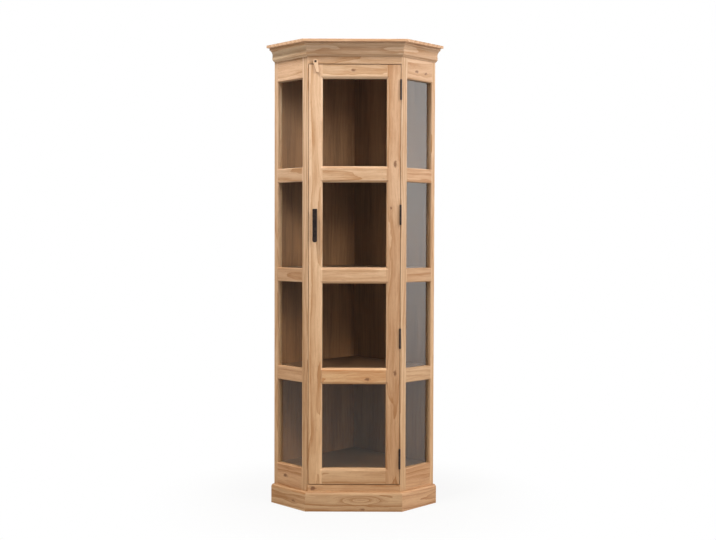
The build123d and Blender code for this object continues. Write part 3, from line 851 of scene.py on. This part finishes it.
def add_leaf(shape, height, inner_x, outer_x, owned):
    """The plate between two X planes, dished on the inner one, and the knuckles it owns."""
    plate = bmesh.new()
    points = [plate.verts.new((inner_x, y, z)) for y, z in leaf_outline(height, owned)]
    for index, point in enumerate(points):
        plate.edges.new((points[index - 1], point))
    turned = Matrix.Rotation(math.pi / 2, 4, "Y")
    for spot in hole_spots(inner_x, height):
        matrix = Matrix.Translation(spot) @ turned
        bmesh.ops.create_circle(plate, segments=NARROW_ROUND, radius=DISH_RADIUS, matrix=matrix)
    bmesh.ops.remove_doubles(plate, verts=plate.verts, dist=1e-6)
    bmesh.ops.triangle_fill(plate, edges=plate.edges, use_beauty=True)
    moved = points_in(bmesh.ops.extrude_face_region(plate, geom=plate.faces[:])["geom"])
    bmesh.ops.translate(plate, verts=moved, vec=(outer_x - inner_x, 0.0, 0.0))
    share = HOLE_RADIUS / DISH_RADIUS
    for spot in hole_spots(outer_x, height):
        rim = [point for point in moved if (point.co - spot).length < DISH_RADIUS * RIM_REACH]
        to_spot = Matrix.Translation(-spot)
        bmesh.ops.scale(plate, verts=rim, vec=(1.0, share, share), space=to_spot)
    bmesh.ops.recalc_face_normals(plate, faces=plate.faces)
    for index in owned:
        join(plate, make_knuckle(*knuckle_ends(height, index)))
    join(shape, plate)


# %% Leaves and screws on both sides
LEAVES = (("frame", "carcass", 1, (0, 2, 4)), ("door", "door", -1, (1, 3)))
for side_name, body, side, owned in LEAVES:
    inner_x, outer_x = HINGE_X + side * LEAF_INNER, HINGE_X + side * LEAF_OUTER
    turned = Matrix.Rotation(-side * math.pi / 2, 4, "Y")
    leaves = bmesh.new()
    screws = bmesh.new()
    for height in HINGE_HEIGHTS:
        add_leaf(leaves, height, inner_x, outer_x, owned)
        for spot in hole_spots(inner_x + side * HEAD_SUNK, height):
            add_screw_head(screws, Matrix.Translation(spot) @ turned, **HINGE_HEAD)
    finish_piece(leaves, "hinge_leaves_on_" + side_name, body, ("hinge_" + side_name + "_leaves",))
    finish_piece(screws, "hinge_screws_in_" + side_name, body)

# %% [markdown]
# ## What the camera sees, and what lights the wood
#
# The photograph shows the cabinet on white. A floor and a room that are truly lit to
# white would throw too much light on the wood. Cycles can tell rays apart: its Light
# Path node knows whether a ray comes from the camera, straight or through a pane, or
# from a lit or mirroring surface. So the camera is shown white, and everything else
# meets a dimmer room. The floor and the world share this test.


# %% The test for the camera's rays
def seen_by_camera(tree, path):
    """1 for what the camera sees, straight or through glass, and 0 for rays that light things."""
    bounces = calc(tree, "ADD", path["Diffuse Depth"], path["Glossy Depth"])
    through_glass = calc(tree, "LESS_THAN", bounces, 0.5)
    through_glass = calc(tree, "MULTIPLY", through_glass, path["Is Transmission Ray"])
    return calc(tree, "MAXIMUM", path["Is Camera Ray"], through_glass)


# %% [markdown]
# ## The floor
#
# The floor is pale and takes the cabinet's soft shadow. What the camera sees of it is
# mostly white near the cabinet and fades to plain white further out. Inside the
# cabinet's outline it keeps its own shade, because white would shine out under the
# boards.

# %% The floor
FLOOR_SIZE, FLOOR_DROP = 4.2, 0.0002
FLOOR_DARKER, FLOOR_LIGHTER = (0.56, 0.555, 0.545, 1.0), (0.60, 0.595, 0.585, 1.0)
NEAR_WHITE, SHADOW_FADES = 0.88, (0.35, 0.9)
# The strips round the cabinet's outline in which the floor turns white
BESIDE, BEFORE, BEYOND = (0.38, 0.405), (-0.195, -0.22), (0.236, 0.2465)


def white_floor_share(tree, point):
    """How white the floor looks at a point: none under the cabinet, all of it far away."""
    share = ramp(tree, length_of(tree, point), *SHADOW_FADES, NEAR_WHITE, 1.0)
    axes = place(tree, "SeparateXYZ", {0: point}).outputs
    sideways = calc(tree, "ABSOLUTE", axes["X"])
    beside = ramp(tree, calc(tree, "SUBTRACT", sideways, axes["Y"]), *BESIDE)
    before = ramp(tree, axes["Y"], *BEFORE)
    beyond = ramp(tree, calc(tree, "ADD", sideways, axes["Y"]), *BEYOND)
    outside = calc(tree, "MAXIMUM", beside, calc(tree, "MAXIMUM", before, beyond))
    return calc(tree, "MULTIPLY", share, outside)


def pale_floor():
    """A matt floor that looks white to the camera."""
    material = bpy.data.materials.new("pale_floor")
    tree = empty_tree(material)
    point = object_point(tree)
    cloud = place(tree, "TexNoise", {"Vector": point, "Scale": 3.0}).outputs["Fac"]
    matt = place(tree, "BsdfDiffuse", {"Color": tint(tree, cloud, FLOOR_DARKER, FLOOR_LIGHTER)})
    white = place(tree, "Emission", {"Color": WHITE, "Strength": 1.0})
    path = place(tree, "LightPath").outputs
    share = calc(tree, "MULTIPLY", white_floor_share(tree, point), seen_by_camera(tree, path))
    both = place(tree, "MixShader", {0: share, 1: matt.outputs[0], 2: white.outputs[0]})
    place(tree, "OutputMaterial", {"Surface": both.outputs[0]})
    return material


shape = bmesh.new()
bmesh.ops.create_grid(shape, x_segments=1, y_segments=1, size=FLOOR_SIZE)
bmesh.ops.translate(shape, verts=shape.verts, vec=(0.0, 0.0, -FLOOR_DROP))
floor_mesh = bpy.data.meshes.new("floor")
shape.to_mesh(floor_mesh)
shape.free()
floor_mesh.materials.append(pale_floor())
floor = bpy.data.objects.new("floor", floor_mesh)
bpy.context.scene.collection.objects.link(floor)
floor.visible_glossy = False
print("floor size:", tuple(floor.dimensions))

# %% [markdown]
# ## The studio round it
#
# The camera sees plain white behind the cabinet. What lights the wood and shows in the
# panes is another matter. Reflections show a bright wall of soft light at the right, a
# white backdrop behind the cabinet and a dim room elsewhere, which gives the right
# panes their grey veil. The rest of the light is a soft fill, stronger from above and
# from the right. All of it comes from one world, and Light Path tells it which rays ask.

# %% The world
ROOM_LIGHT, MIRRORED_LIGHT = (1.0, 0.985, 0.96, 1.0), (1.0, 0.985, 0.97, 1.0)
SIDE_FILL, LOW_FILL, TOP_FILL = 0.3, 0.28, 0.8
WALL_FOOT, WALL_STRENGTH = 0.4, 2.3
CEILING_EDGE, CEILING_STRENGTH, GROUND_STRENGTH = 0.05, 0.7, 0.12
# Where each part begins and where it is full, by one coordinate of the direction
FILL_SPREAD, WALL_SIDE, WALL_HEIGHT = (0.0, 0.9), (0.35, 0.9), (-0.3, 0.1)
BACKDROP_SIDE, CEILING_HEIGHT, GROUND_HEIGHT = (0.3, 0.8), (0.25, 0.9), (-0.14, -0.3)


def room_fill(tree, axes):
    """The soft light that reaches matt surfaces, by direction."""
    from_right = calc(tree, "MULTIPLY", ramp(tree, axes["X"], *FILL_SPREAD), SIDE_FILL)
    from_above = ramp(tree, axes["Z"], *FILL_SPREAD, LOW_FILL, TOP_FILL)
    return calc(tree, "ADD", from_right, from_above)


def mirrored_room(tree, axes):
    """What shows in panes and other shiny surfaces, by direction."""
    wall = ramp(tree, axes["Z"], *WALL_HEIGHT, WALL_FOOT, WALL_STRENGTH)
    wall = calc(tree, "MULTIPLY", ramp(tree, axes["X"], *WALL_SIDE), wall)
    backdrop = ramp(tree, axes["Y"], *BACKDROP_SIDE)
    ceiling = ramp(tree, axes["Z"], *CEILING_HEIGHT, CEILING_EDGE, CEILING_STRENGTH)
    ground = ramp(tree, axes["Z"], *GROUND_HEIGHT, 0.0, GROUND_STRENGTH)
    upright = calc(tree, "ADD", wall, backdrop)
    return calc(tree, "ADD", upright, calc(tree, "ADD", ceiling, ground))


world = bpy.data.worlds.new("studio")
bpy.context.scene.world = world
tree = empty_tree(world)
direction = place(tree, "TexCoord").outputs["Generated"]
axes = place(tree, "SeparateXYZ", {0: direction}).outputs
room = place(tree, "Background", {"Color": ROOM_LIGHT, "Strength": room_fill(tree, axes)})
gloss = place(tree, "Background", {"Color": MIRRORED_LIGHT, "Strength": mirrored_room(tree, axes)})
white = place(tree, "Background", {"Color": WHITE, "Strength": 1.0})
path = place(tree, "LightPath").outputs
lit = place(tree, "MixShader", {0: path["Is Glossy Ray"], 1: room.outputs[0], 2: gloss.outputs[0]})
seen = seen_by_camera(tree, path)
both = place(tree, "MixShader", {0: seen, 1: lit.outputs[0], 2: white.outputs[0]})
place(tree, "OutputWorld", {"Surface": both.outputs[0]})
print("world nodes:", len(tree.nodes))

# %% [markdown]
# ## Two lamps
#
# Even light from all sides would leave the mouldings flat. A lamp high at the left
# models the front and its edges, and a softer one at the right lifts that side. Both
# are areas and not points, so their shadows have soft edges.

# %% Lamps
LAMP_COLOUR = (1.0, 0.98, 0.95)


def soft_lamp(name, stand, aim, size, power):
    """A square area lamp at stand that points at aim."""
    lamp = bpy.data.lights.new(name, "AREA")
    lamp.shape = "SQUARE"
    lamp.size = size
    lamp.energy = power
    lamp.color = LAMP_COLOUR
    holder = bpy.data.objects.new(name, lamp)
    holder.location = stand
    holder.rotation_euler = (Vector(aim) - Vector(stand)).to_track_quat("-Z", "Y").to_euler()
    bpy.context.scene.collection.objects.link(holder)
    print(name, "at", stand, "power:", power)


soft_lamp("key_lamp", stand=(-1.2, -1.4, 3.9), aim=(0.0, -0.2, 1.4), size=0.8, power=84.0)
soft_lamp("side_lamp", stand=(2.2, -1.8, 2.6), aim=(0.1, -0.1, 1.2), size=1.0, power=46.0)

# %% [markdown]
# ## The camera
#
# The photograph's upright edges stay almost upright, so its camera looked nearly level
# from some way off. A lens shift could copy that exactly, but the shift would stay on in
# every other view and cut off the cabinet's top there. A long lens from a little lower,
# tipped down by less than two degrees, puts every corner within about two pixels of the
# photograph with no shift up or down.

# %% The camera
PICTURE_WIDTH, FOCAL_PIXELS = 716.0, 1035.2
SENSOR = 36.0
CAMERA_STAND, SHIFT_ASIDE = (0.0, -4.165, 1.046), 0.005
TIP_DOWN, ROLL = math.radians(1.71), math.radians(-0.18)
lens = bpy.data.cameras.new("photo_lens")
lens.sensor_width = SENSOR
lens.lens = FOCAL_PIXELS * SENSOR / PICTURE_WIDTH
lens.shift_x = SHIFT_ASIDE
camera = bpy.data.objects.new("photo_camera", lens)
camera.location = CAMERA_STAND
camera.rotation_euler = (math.pi / 2 - TIP_DOWN, ROLL, 0.0)
bpy.context.scene.collection.objects.link(camera)
bpy.context.scene.camera = camera
bpy.context.scene.view_settings.view_transform = "Standard"
print("lens:", round(lens.lens, 2), "mm")
